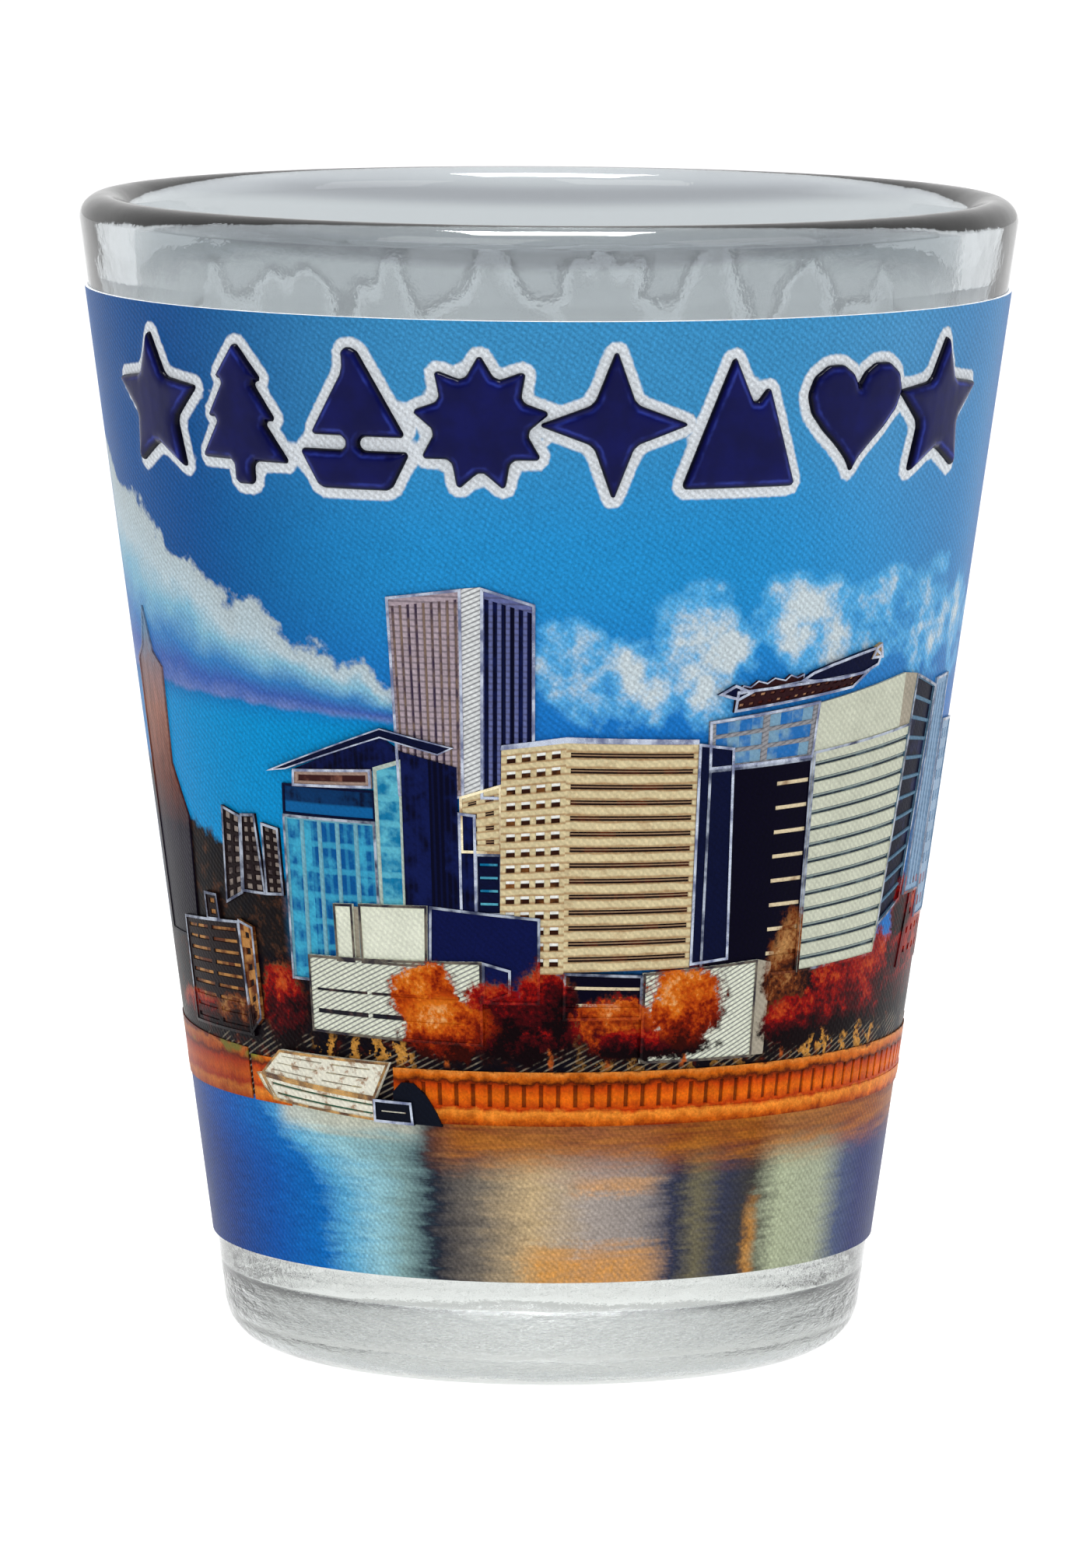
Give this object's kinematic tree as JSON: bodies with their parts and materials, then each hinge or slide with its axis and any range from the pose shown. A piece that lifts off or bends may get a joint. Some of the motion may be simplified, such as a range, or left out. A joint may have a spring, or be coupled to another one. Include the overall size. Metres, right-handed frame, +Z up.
{
  "type": "shot glass",
  "caption": "Small tapered drinking glass for a measure of spirits, with a heavy base, a rounded lip, a printed wrap film of a waterside skyline and a row of raised enamel motifs.",
  "frame": {"origin": "middle of the foot, on the surface that the glass stands on", "axes": "+Z up the glass's axis to the mouth, -Y towards the middle of the front picture, +X to its right"},
  "size_m": [0.0486, 0.0486, 0.06],
  "materials": {
    "clear_glass": "clear pressed soda-lime glass, fire-polished lip",
    "printed_film": "satin metallised film, colour print outside, bare silver grey inside, finely embossed",
    "navy_enamel": "glossy domed enamel ink"
  },
  "bodies": {
    "root": {"glass_body": "clear_glass", "wrap_film": "printed_film", "front_motif_1_star": "navy_enamel", "front_motif_2_pine_tree": "navy_enamel", "front_motif_3_sailboat": "navy_enamel", "front_motif_4_sun": "navy_enamel", "front_motif_5_compass": "navy_enamel", "front_motif_6_mountain": "navy_enamel", "front_motif_7_heart": "navy_enamel", "front_motif_8_star": "navy_enamel", "back_motif_1_star": "navy_enamel", "back_motif_2_pine_tree": "navy_enamel", "back_motif_3_sailboat": "navy_enamel", "back_motif_4_sun": "navy_enamel", "back_motif_5_compass": "navy_enamel", "back_motif_6_mountain": "navy_enamel", "back_motif_7_heart": "navy_enamel", "back_motif_8_star": "navy_enamel"}
  },
  "joints": []
}
